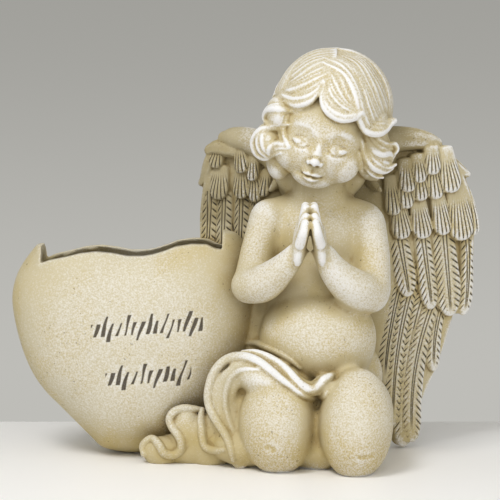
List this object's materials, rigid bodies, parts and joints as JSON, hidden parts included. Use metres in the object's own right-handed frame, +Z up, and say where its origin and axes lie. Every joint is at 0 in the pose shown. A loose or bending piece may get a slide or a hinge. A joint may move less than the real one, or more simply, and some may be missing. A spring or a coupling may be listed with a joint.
{
  "type": "angel figurine with planter",
  "caption": "Kneeling winged cherub with praying hands, cast in one piece beside a hollow heart-shaped planter with a broken-edge mouth.",
  "frame": {"origin": "middle of the footprint box, on the plane the casting stands on", "axes": "+Z up, -Y towards the viewer that the cherub and the heart face, +X to that viewer's right, where the cherub kneels"},
  "size_m": [0.3075, 0.1365, 0.2651],
  "materials": {
    "cast_stone": "matt cream cast stone, washed ochre in its hollows and dry-brushed near-white on what stands out"
  },
  "bodies": {
    "root": {"angel_heart_planter": "cast_stone"}
  },
  "joints": []
}
